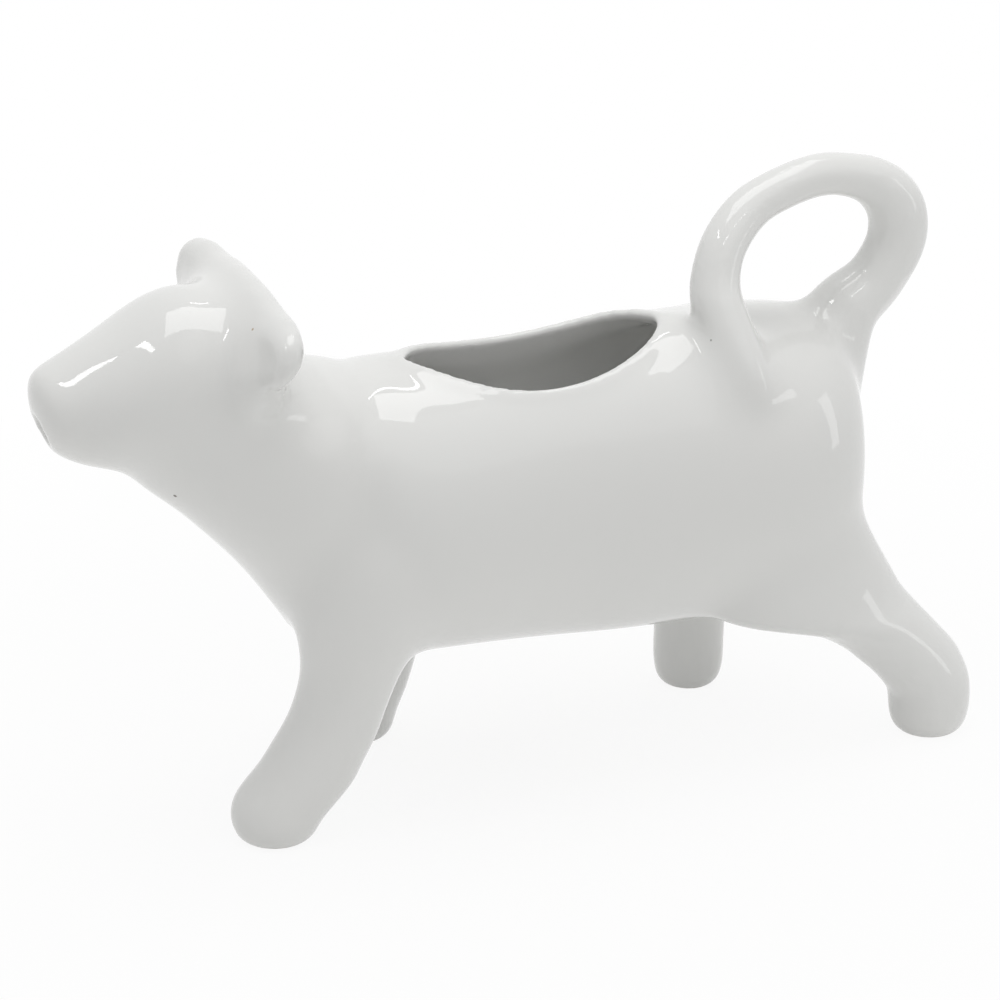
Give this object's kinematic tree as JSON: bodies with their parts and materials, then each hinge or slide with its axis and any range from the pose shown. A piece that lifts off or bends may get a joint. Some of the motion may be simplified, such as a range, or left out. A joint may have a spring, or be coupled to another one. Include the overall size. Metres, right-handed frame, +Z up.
{
  "type": "cow creamer",
  "caption": "Cream jug in the shape of a walking cow, in white glazed porcelain: filled through the back, held by the curled tail and poured from the muzzle.",
  "frame": {"origin": "middle of the footprint, on the table that the four soles stand on", "axes": "+Z up, +X from the head to the tail, so the cow looks along -X and its left side faces -Y"},
  "size_m": [0.1689, 0.056, 0.1068],
  "materials": {
    "glazed_porcelain": "white porcelain body under a clear gloss glaze, bare and matt only on the four soles"
  },
  "bodies": {
    "root": {"left_barrel_half": "glazed_porcelain", "right_barrel_half": "glazed_porcelain", "head": "glazed_porcelain", "left_ear": "glazed_porcelain", "right_ear": "glazed_porcelain", "tail_handle": "glazed_porcelain", "front_left_leg": "glazed_porcelain", "front_right_leg": "glazed_porcelain", "rear_left_leg": "glazed_porcelain", "rear_right_leg": "glazed_porcelain"}
  },
  "joints": []
}
